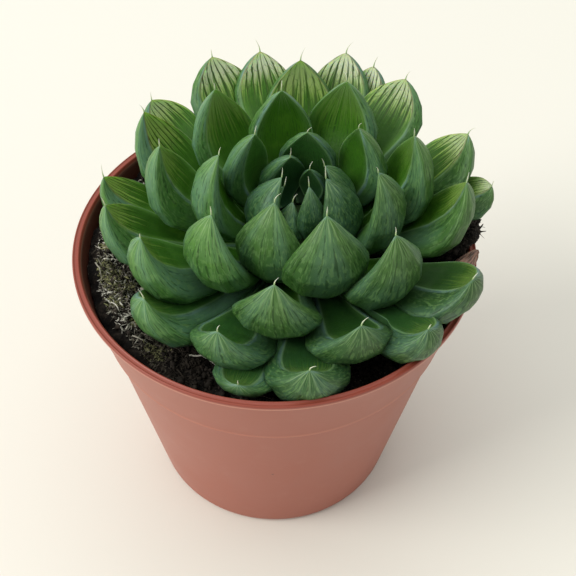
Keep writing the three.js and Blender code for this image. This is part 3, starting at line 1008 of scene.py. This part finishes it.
def leaf_looks(leaf, rng):
    """What is the same all over a leaf: how clear its windows are (the outer leaves, least in
    front), how pale they are (behind, partly a painted glow of light through the tips), its
    tone, random, with painted light that makes it paler toward the light and painted shade that
    darkens the front right, and painted shade, a dark bluish green, on the heart and the lowest
    leaves in front."""
    reach = leaf[1]
    windows = np.clip((reach - 21) / 18, 0, 1)
    windows *= 0.2 + 0.8 * np.clip(0.75 + facing(leaf, BACK), 0, 1)
    behind = np.clip(1.5 * facing(leaf, PALE_TIPS), 0, 1) * np.clip(reach / 7 - 4.9, 0.15, 1)
    lowest = np.clip((reach - 34) / 8, 0, 1)
    # painted shade: leaves on the front right, and most of all the lowest, are darker in tone
    painted_side_shade = 1.7 * np.clip(facing(leaf, SHADE), 0, 1)
    painted_side_shade += 1.2 * lowest * np.clip(1.6 * facing(leaf, LOW_SHADE) - 0.6, 0, 1)
    # tone: random, plus painted light toward the light, less the painted shade
    tone = 0.6 * rng.uniform(-1, 1) + 1.3 * np.clip(facing(leaf, LIGHT), 0, 1) - painted_side_shade
    in_front = np.clip(facing(leaf, FRONT), 0, 1) * np.clip((reach - 36) / 10, 0, 1)
    # painted shade: dark bluish green on the heart and the lowest leaves in front
    painted_deep_shade = max(np.clip((15 - reach) / 9, 0, 1), 0.8 * in_front)
    return {"windows": windows, "behind": behind, "tone": tone, "painted_deep_shade": painted_deep_shade}


def make_leaf(leaf, rank, material, rng):
    """A plump leaf on a grid of t along it and an angle a round it. The leaf is widest at the
    depth c, 0.4 of the whole: from there the belly is half cos a across and
    c + (deep - c) sin^0.9 a below the middle line, and above it a shoulder turns in and rises
    straight to the margin. The shoulders turn in by 56 degrees, and by 30 on the leaves
    behind, and by up to 32 more on the side toward the front and as much less on the other.
    Between the margins the upper face dips by 0.1 half (1 - u^2)."""
    base, middle, tip, out, side = leaf_curve(leaf, rank)
    t = 1 - (1 - np.arange(LEAF_ROWS) / LEAF_ROWS) ** TIP_CROWDING
    point = np.outer((1 - t) ** 2, base) + np.outer(2 * t * (1 - t), middle)
    point += np.outer(t**2, tip)
    along = unit(np.outer(1 - t, middle - base) + np.outer(t, tip - middle))
    below = unit(np.cross(along, side))
    below[(below @ out < 0) | (below[:, 2] > 0.9)] *= -1
    half = (leaf[3] / 2 * smooth_keyed(WIDTH_KEYS, t) * LEAF_TRIM)[:, None]
    deep = (leaf[4] * smooth_keyed(DEPTH_KEYS, t) * LEAF_TRIM)[:, None]

    to_back = np.clip(1.4 * np.sin(np.radians(leaf[0])), 0, 1)
    turned_in = np.radians(CREST_ANGLE + (CREST_ANGLE_BEHIND - CREST_ANGLE) * to_back)
    lean = -np.radians(CREST_LEAN) * np.cos(np.radians(leaf[0]))
    left_in, right_in = turned_in + lean, turned_in - lean
    a = np.linspace(-left_in, np.pi + right_in, BELLY_POINTS)
    turned_in = np.where(a < np.pi / 2, left_in, right_in)
    u = -np.cos(np.linspace(0, np.pi, FACE_POINTS + 2)[1:-1])
    face_half = (np.cos(left_in) + np.cos(right_in)) / 2
    face_middle = (np.cos(left_in) - np.cos(right_in)) / 2
    across = np.concatenate([(np.pi / 2 - a) / (np.pi / 2 + turned_in), u])
    full = CREST_AT_BASE + (1 - CREST_AT_BASE) * np.clip((t - 0.15) / 0.35, 0, 1)
    crest = deep * CREST_DEPTH * full[:, None]
    belly = crest + (deep - crest) * np.clip(np.sin(a), 0, 1) ** BELLY_FULLNESS
    shoulder = crest * (1 + np.sin(a) / np.sin(turned_in))
    dip = half * FACE_HOLLOW * (1 - u**2) * (0.4 + 0.6 * to_back)
    x = half * np.concatenate([np.cos(a), face_middle + face_half * u])
    y = np.concatenate([np.where(np.sin(a) > 0, belly, shoulder), dip], axis=1)
    rings = point[:, None] + x[..., None] * side + y[..., None] * below[:, None]

    # A slow swell over it all, none at the ends and the margins
    swell = SWELL * noise(rings, 5.5, rank + 1) + SMALL_SWELL * noise(rings, 1.7, rank + 90)
    swell = swell * (np.sin(np.pi * t) ** 0.5)[:, None] * (1 - across**2)
    upward = np.concatenate([np.sin(a), -np.ones_like(u)])
    rings = rings + (swell * upward)[..., None] * below[:, None]

    step = np.linalg.norm(np.diff(rings[:, :BELLY_POINTS], axis=1), axis=2)
    way = np.concatenate([np.zeros((LEAF_ROWS, 1)), np.cumsum(step, 1)], 1)
    rim = [np.minimum(way, way[:, -1:] - way), half * face_half * (1 - np.abs(u))]
    upper = np.concatenate([np.zeros_like(a), np.ones_like(u)])
    upper[[0, BELLY_POINTS - 1]] = 0.5
    vertices, faces = closed(rings[None], rings[0].mean(0)[None], tip[None])
    looks = leaf_looks(leaf, rng)
    name = f"leaf_{rank + 1:02d}"
    piece = new_piece(
        name + "_skin",
        vertices,
        faces,
        material,
        grid_uv(across, t),
        upper_face=np.concatenate([[0], np.tile(upper, LEAF_ROWS), [0.5]]),
        wide=np.concatenate([[0], np.repeat(half / half.max(), len(across)), [0]]),
        rim=np.concatenate([[5], np.concatenate(rim, 1).ravel(), [0]]),
        **{key: np.full(len(vertices), value) for key, value in looks.items()},
    )
    keep_in_solid(piece, name)
    places = np.clip(mesh_places(piece.data), BOX_LOW, BOX_HIGH) * MM
    piece.data.vertices.foreach_set("co", places.astype(np.float32).ravel())
    piece.data.update()
    on_root(piece, name)
    return tip, along[-1], out, side


def make_leaves(skin, horn):
    """All the leaves, and a bristle on each: a thin tube that tapers from root to point, along
    root + length (s start + s^2 bend)."""
    rng = np.random.default_rng(7)
    ends = [make_leaf(leaf, rank, skin, rng) for rank, leaf in enumerate(LEAVES)]
    count = len(ends)
    tip, along, out, side = (np.array(part) for part in zip(*ends))
    start = unit(along + [0, 0, BRISTLE_UPTURN])
    length = rng.uniform(*BRISTLE_LENGTH, count)
    bend = side * rng.uniform(-0.5, 0.5, count)[:, None]
    bend = bend - out * rng.uniform(-0.2, 0.15, count)[:, None]
    s = np.linspace(-0.08, 1, BRISTLE_ROWS)
    path = start[:, None] * s[:, None] + bend[:, None] * s[:, None] ** 2
    path = tip[:, None] + length[:, None, None] * path
    path = np.clip(path, BOX_LOW + 0.1, BOX_HIGH - 0.1)
    wide = unit(np.cross(start, out))
    radius = BRISTLE_RADIUS * (1 - BRISTLE_TAPER * np.clip(s, 0, 1)) ** 0.8
    bristles = tubes(path, radius[None], wide, np.cross(start, wide), BRISTLE_SIDES)
    dry = np.tile(np.concatenate([[0], np.repeat(s, BRISTLE_SIDES), [1]]), count)
    on_root(new_piece("leaf_bristles", *bristles, horn, dryness=dry), None)


make_leaves(leaf_skin(), bristle_horn())


def make_stem(material):
    """The stem: a lathe shape about the plant's axis, a root under a domed crown."""
    z = np.linspace(CROWN_FOOT, CROWN_TOP, 24)
    dome = np.column_stack([crown_radius(z) - 0.1, z - 0.05])
    root = [[0, STEM_ROOT_END], [STEM_ROOT_RADIUS * 0.7, STEM_ROOT_END]]
    root += [[STEM_ROOT_RADIUS - 0.1, STEM_ROOT_END + 4], [STEM_ROOT_RADIUS - 0.1, 60]]
    vertices, faces = turned(np.concatenate([root, dome, [[0, CROWN_TOP]]]), CROWN_SIDES)
    vertices[:, :2] += PLANT
    on_root(new_piece("crown_and_root", vertices, faces, material), "stem")


make_stem(crown_tissue())


# Peat


def soil_height(x, y):
    """Height of the peat: slow waves, and a bank outside the leaves on the left."""
    waves = np.sin(x * 0.31 + 0.6) * np.cos(y * 0.27 - 0.4) + 0.5 * np.sin(x * 0.12 - y * 0.19)
    distance = np.hypot(x - PLANT[0], y - PLANT[1])
    share = np.clip((distance - SOIL_BANK_START) / (SOIL_BANK_END - SOIL_BANK_START), 0, 1)
    share = share * share * (3 - 2 * share)
    turn = np.arctan2(y - PLANT[1], x - PLANT[0]) - np.radians(SOIL_BANK_AZIMUTH)
    return SOIL_TOP + SOIL_BUMP * waves + SOIL_BANK * share * (0.5 + 0.5 * np.cos(turn))


def crumbled(x, y):
    """The peat's height with its crumbs: noise in lumps of 6, 2.2, 1.1 and 0.6 mm, the smaller
    ones sharpened, a drift and a mound against the wall on the left, and a ragged edge that
    falls away along the wall."""
    flat = np.stack([x, y, np.zeros_like(x)], -1)
    rough = 0.5 * noise(flat, 6, 3) + 1.3 * np.abs(noise(flat, 2.2, 4)) ** 0.7 - 0.6
    rough += 0.6 * np.abs(noise(flat, 1.1, 5)) + 0.3 * np.abs(noise(flat, 0.6, 6)) - 0.4
    room = inner_radius(SOIL_TOP) - FIT_GAP - np.hypot(x, y)
    ragged = 0.9 + 0.6 * noise(flat, 5, 8) + 0.5 * noise(flat, 1.5, 9)
    fall = SOIL_EDGE_FALL * np.clip(1 - room / np.maximum(ragged, 0.3), 0, 1)
    drift = SOIL_DRIFT * np.clip((-x - 24) / 10, 0, 1) * np.clip((22 - y) / 10, 0, 1)
    off_mound = (x - SOIL_MOUND_PLACE[0]) ** 2 + (y - SOIL_MOUND_PLACE[1]) ** 2
    mound = SOIL_MOUND * np.exp(-off_mound / SOIL_MOUND_SPREAD)
    return soil_height(x, y) + rough + 0.5 + drift + mound - fall


def on_peat(flat):
    """Places on the peat's surface, from their x and y."""
    return np.concatenate([flat, crumbled(flat[..., 0], flat[..., 1])[..., None]], -1)


def kept_in(points):
    """Points moved in to stay within the pot's wall and the solids' box."""
    reach = np.hypot(points[:, 0], points[:, 1])
    limit = inner_radius(np.clip(points[:, 2], 0, POT_HEIGHT)) - FIT_GAP
    over = (reach > limit) & (points[:, 2] < POT_HEIGHT + FIT_GAP)
    points[:, :2] *= np.where(over, limit / np.maximum(reach, 1e-6), 1)[:, None]
    return np.clip(points, BOX_LOW, BOX_HIGH)


def clump_lumps():
    """The centre and radius of each lump of the clump."""
    azimuth, distance, height, radius = np.array(CLUMP, float).T
    azimuth = np.radians(azimuth)
    centre = np.stack([distance * np.cos(azimuth), distance * np.sin(azimuth), height], -1)
    return centre, radius


def make_soil(material):
    """Rings about the stem: from the bottom of its hole up to the surface, out over the surface
    to the pot's wall, down the wall and over the floor to the pot's axis. A ring at share k of
    the surface lies that share of the way from the hole's edge to the wall. The clump is lumps
    that overlap, each a ball with a rough skin."""
    angle = np.arange(SOIL_SIDES) * 2 * np.pi / SOIL_SIDES
    ray = np.stack([np.cos(angle), np.sin(angle)], -1)
    hole = STEM_ROOT_RADIUS + FIT_GAP
    wall = float(inner_radius(SOIL_TOP)) - FIT_GAP
    along = ray @ PLANT
    to_wall = -along + np.sqrt(along**2 + wall**2 - PLANT @ PLANT)
    k = np.linspace(0, 1, SOIL_RINGS)[:, None]
    surface = on_peat(PLANT + (hole + (to_wall - hole) * k)[..., None] * ray)
    heading = unit(surface[-1, :, :2])
    surface[-1, :, :2] = heading * (inner_radius(surface[-1, :, 2:]) - SOIL_GAP)
    low, bottom = STEM_ROOT_END - FIT_GAP, POT_FLOOR + FIT_GAP
    inside = [
        np.column_stack([PLANT + ray * radius, np.full(SOIL_SIDES, z)])
        for z, radius in ((low, hole * 0.7), (low + 4, hole), (SOIL_SIDE_TOP, hole))
    ]
    outside = [
        np.column_stack([heading * (inner_radius(z) - SOIL_GAP), np.full(SOIL_SIDES, z)])
        for z in (SOIL_SIDE_TOP, COLLAR_FOOT_HEIGHT + 0.8, COLLAR_FOOT_HEIGHT - 0.8, bottom)
    ]
    rings = np.concatenate([inside, surface, outside])[None]
    ground = closed(rings, np.array([[*PLANT, low]]), np.array([[0, 0, bottom]]))

    centre, radius = clump_lumps()
    sphere = ball(LUMP_RINGS, LUMP_SIDES)
    lumps = centre[:, None, None] + radius[:, None, None, None] * 0.97 * sphere
    rough = 0.55 * noise(lumps, 2.2, 11) + 0.4 * np.abs(noise(lumps, 0.8, 12)) - 0.25
    lumps = lumps + rough[..., None] * sphere
    pole = [0, 0, 1] * (radius * 0.95)[:, None]
    lumps, faces = closed(lumps, centre + pole, centre - pole)
    parts = [ground, (kept_in(lumps), faces)]
    on_root(new_piece("peat", *joined(parts), material), "soil")


make_soil(peat())


def peat_places(rng, count, closest=30.0):
    """Random places on the bare peat, between the leaves' feet and the pot's wall."""
    flat = rng.uniform(-43, 43, (2, count * 3)).T
    room = float(inner_radius(SOIL_TOP)) - FIT_GAP - 0.9
    bare = (np.hypot(*flat.T) < room) & (np.hypot(*(flat - PLANT).T) > closest)
    return on_peat(flat[bare][:count])


def clump_places(rng, count):
    """Random places on the skin of the clump's upper lumps."""
    centre, radius = clump_lumps()
    lump = rng.integers(3, len(CLUMP), count)
    way = rng.normal(size=(count, 3))
    way[:, 2] = np.abs(way[:, 2])
    return centre[lump] + unit(way) * radius[lump, None]


def around(rng, spots, spread, count):
    """Random places on the peat about each of the spots."""
    flat = np.repeat(np.array(spots, float)[:, :2], count, axis=0)
    flat = flat + rng.normal(0, spread, flat.shape)
    return on_peat(flat[np.hypot(*flat.T) < float(inner_radius(SOIL_TOP)) - 1.2])


def fibres(rng, places, length, thick, lift=0.3):
    """Thin bent tubes: each lies across its place along a random heading h as
    place + s L h + s^2 bend, rising or sinking by lift, and narrows to its ends."""
    count = len(places)
    heading = rng.uniform(0, 2 * np.pi, count)
    rise = rng.normal(0, lift, count)
    start = unit(np.stack([np.cos(heading), np.sin(heading), rise], -1))
    bend = rng.normal(0, 0.35, (count, 3))
    size = length * rng.lognormal(0, 0.4, count)
    s = np.linspace(-0.5, 0.5, FIBRE_ROWS)[:, None]
    path = places[:, None] + size[:, None, None] * (s * start[:, None] + s**2 * bend[:, None])
    wide = unit(np.cross(start, [0, 0, 1.0]))
    radius = thick / 2 * rng.lognormal(0, 0.3, count)[:, None] * (1 - (2 * s[:, 0]) ** 2 * 0.7)
    return tubes(path, radius, wide, np.cross(start, wide), FIBRE_SIDES)


def crumbs(rng, places, size):
    """Small rough lumps: flattened balls, each of their points moved in or out at random."""
    count = len(places)
    radius = size / 2 * rng.lognormal(0, 0.45, count)
    stretch = rng.uniform(0.55, 1.3, (count, 3))
    shape = ball(CRUMB_RINGS, CRUMB_SIDES) * stretch[:, None, None] * radius[:, None, None, None]
    shape = shape * rng.uniform(0.75, 1.2, shape.shape[:-1])[..., None]
    end = radius[:, None] * stretch * [0, 0, 0.95]
    return closed(places[:, None, None] + shape, places + end, places - end)


def dryness(places):
    """How pale the peat's litter is: paler on the left, darker in front, and between the two on
    the clump."""
    dry = np.clip((-6 - places[:, 0] + 0.4 * places[:, 1]) / 18, 0, 1)
    return 0.36 + 0.64 * np.where(places[:, 0] > 30, 0.45, dry)


def make_litter(material):
    """Crumbs and fibres strewn over the peat. Each set is its places, the size and the range of
    tints, with the thickness before the tints for fibres."""
    rng = np.random.default_rng(23)
    left = peat_places(rng, 9000, 26)
    left = left[(left[:, 0] < -16) & (left[:, 1] < 34)]
    outer = clump_places(rng, 60)
    outer = outer[outer[:, 0] > 41]
    crumb_sets = [
        (peat_places(rng, 2100, 24), 0.75, (0.0, 0.4)),
        (peat_places(rng, 1100), 0.45, (0.5, 1.0)),
        (clump_places(rng, 400), 0.6, (0.0, 0.45)),
    ]
    fibre_sets = [
        (peat_places(rng, 2600, 26), 1.9, 0.2, (0.05, 0.5)),
        (peat_places(rng, 1800, 26), 1.2, 0.22, (0.5, 1.0)),
        (clump_places(rng, 420), 1.7, 0.2, (0.05, 0.5)),
        (outer, 2.0, 0.6, (0.4, 0.7)),
    ]
    dry_sets = [
        (left[:1900], 1.5, 0.3, (0.5, 1.0)),
        (left[2600:3400], 1.0, 0.42, (0.65, 1.0)),
        (around(rng, PALE_BITS, 0.9, 9), 1.5, 0.42, (0.95, 1.0)),
    ]
    for name, sets, shape in (
        ("peat_crumbs", crumb_sets, crumbs),
        ("peat_fibres", fibre_sets, fibres),
        ("dry_fibres", dry_sets, fibres),
    ):
        parts, tints = [], []
        for places, *sizes, tint_range in sets:
            parts.append(shape(rng, places + [0, 0, 0.2], *sizes))
            tint = rng.uniform(*tint_range, len(places)) * dryness(places)
            tints.append(np.repeat(tint, len(parts[-1][0]) // len(places)))
        vertices, faces = joined(parts)
        tint = np.concatenate(tints)
        on_root(new_piece(name, kept_in(vertices), faces, material, tint=tint), None)


def make_moss(material):
    """Tufts of short pointed stalks in patches on the left."""
    rng = np.random.default_rng(31)
    tufts = [around(rng, [spot], 0.45 * spot[2], int(60 * spot[2])) for spot in MOSS]
    places = np.concatenate(tufts) + [0, 0, 0.25]
    vertices, faces = fibres(rng, places, 1.05, 0.36, 1.2)
    tint = rng.uniform(0, 1, len(places)) ** 1.3
    tint = np.repeat(tint, len(vertices) // len(places))
    on_root(new_piece("moss_tufts", kept_in(vertices), faces, material, tint=tint), None)


def make_roots(material):
    """Dry roots on the peat: tubes from one end to the other, s along them, that bow sideways
    by bow sin(pi s), lift off the peat a little in the middle, and taper as 1 - 0.6 s."""
    roots = np.array(ROOTS)
    start, end, (bow, radius, tint) = roots[:, :2], roots[:, 2:4], roots[:, 4:].T
    s = np.linspace(0, 1, ROOT_ROWS)
    arch = np.sin(np.pi * s)
    aside = unit(end - start)[:, ::-1] * [-1, 1]
    flat = start[:, None] + s[:, None] * (end - start)[:, None]
    path = on_peat(flat + (bow[:, None] * arch)[..., None] * aside[:, None])
    path[..., 2] += 0.5 + 0.4 * arch
    wide = np.column_stack([aside, np.zeros(len(ROOTS))])
    up = np.array([[0, 0, 1]])
    vertices, faces = tubes(path, radius[:, None] * (1 - 0.6 * s), wide, up, ROOT_SIDES)
    tint = np.repeat(tint, len(vertices) // len(ROOTS))
    on_root(new_piece("dry_roots", kept_in(vertices), faces, material, tint=tint), None)


make_litter(strands())
make_moss(moss())
make_roots(strands())


# Withered leaf


def make_dry_leaf(material):
    """A curled blade: at t along it the half-width is 2.6 sin(0.2 pi + 0.72 pi t), and the
    surface stands 1.2 u^2 over its middle line, with u from edge to edge and small creases.
    Its end is ragged."""
    along = DRY_TIP - DRY_BASE
    side = unit(np.cross([1, 0.3, 0], along))
    face = unit(np.cross(along, side))
    t = np.linspace(0, 0.97, DRY_ROWS)[:, None]
    u = [np.linspace(-1, 1, DRY_UPPER), np.linspace(0.94, -0.94, DRY_LOWER)]
    u = np.concatenate(u)
    under = np.sin(np.linspace(0.15, np.pi - 0.15, DRY_LOWER)) ** 0.5
    under = np.concatenate([np.zeros(DRY_UPPER), under])
    half = DRY_HALF * np.sin(np.pi * (0.2 + 0.72 * t)) * 0.98
    crease = 0.14 * np.sin(u * 9 + 3 * t) + 0.1 * np.sin(u * 4 - 6 * t)
    rise = DRY_CURL * u**2 + crease - DRY_THICKNESS * 0.95 * under
    torn = t * (1 - 0.16 * t**3 * (0.5 + 0.5 * np.sin(8 * u + 1)))
    rings = DRY_BASE + torn[..., None] * along + (half * u)[..., None] * side
    rings = rings + rise[..., None] * face
    vertices, faces = closed(rings[None], rings[0].mean(0)[None], DRY_TIP[None])
    vertices = np.clip(vertices, BOX_LOW, BOX_HIGH)
    piece = new_piece("withered_leaf", vertices, faces, material, grid_uv(u, t[:, 0]))
    keep_in_solid(piece, "dry_leaf")
    on_root(piece, "dry_leaf")


make_dry_leaf(withered_tissue())


# Floor and light


def make_floor():
    """A pale matt table top."""
    m, add = new_material("pale_floor")
    add("OutputMaterial", add("BsdfPrincipled", Base_Color="#ebeae1", Roughness=0.7))
    mesh = bpy.data.meshes.new("floor")
    side = 3.0
    corners = [(-side, -side, 0), (side, -side, 0), (side, side, 0), (-side, side, 0)]
    mesh.from_pydata(corners, [], [(0, 1, 2, 3)])
    mesh.materials.append(m)
    in_scene("floor", mesh)


def make_light(name, place, size, power, colour):
    """A square area light at a place in metres that points at the plant."""
    data = bpy.data.lights.new(name, "AREA")
    data.size = size
    data.energy = power
    data.color = linear(colour)[:3]
    back = unit(np.array(place) - LIGHT_TARGET)
    right = unit(np.cross([0, 0, 1.0], back))
    in_scene(name, data).matrix_world = placed(right, np.cross(back, right), back, place)


def make_world():
    """Even, nearly white light from all around."""
    world = bpy.data.worlds.new("studio")
    bpy.context.scene.world = world
    world.use_nodes = True
    sky = world.node_tree.nodes["Background"]
    sky.inputs[0].default_value = linear("#f7f7f4")
    sky.inputs[1].default_value = 0.56


make_floor()
make_light("window", (-3.0, -1.0, 2.5), 2.1, 101.0, "#fffcf6")
make_light("ceiling", (-0.4, 0.6, 2.4), 3.2, 32.0, "#fffefa")
make_world()
bpy.context.scene.view_settings.view_transform = "Standard"
